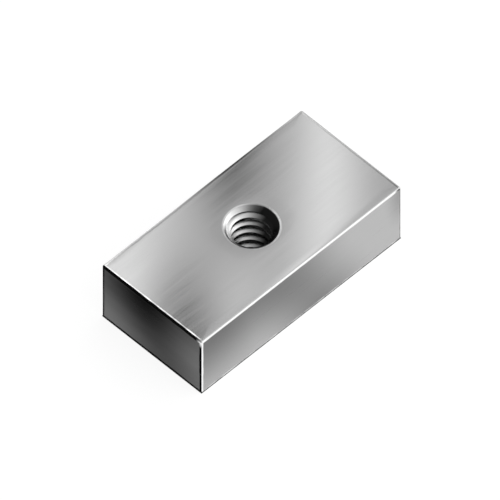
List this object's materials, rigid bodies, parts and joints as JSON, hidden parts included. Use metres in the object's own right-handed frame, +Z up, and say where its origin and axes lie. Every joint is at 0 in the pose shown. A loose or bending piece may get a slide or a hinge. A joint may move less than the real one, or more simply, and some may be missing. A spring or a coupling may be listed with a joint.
{
  "type": "threaded plate",
  "caption": "Rectangular ground steel plate with a countersunk tapped through hole in its middle, used as a nut in a slot or behind a panel.",
  "frame": {"origin": "on the tapped hole's axis at the plate's underside, which is the middle of that face", "axes": "+X along the plate's length, +Y across its width, +Z up the tapped hole"},
  "size_m": [0.0254, 0.0126, 0.0073],
  "materials": {
    "ground_steel": "ground and lightly polished bare steel"
  },
  "bodies": {
    "root": {"threaded_plate": "ground_steel"}
  },
  "joints": []
}
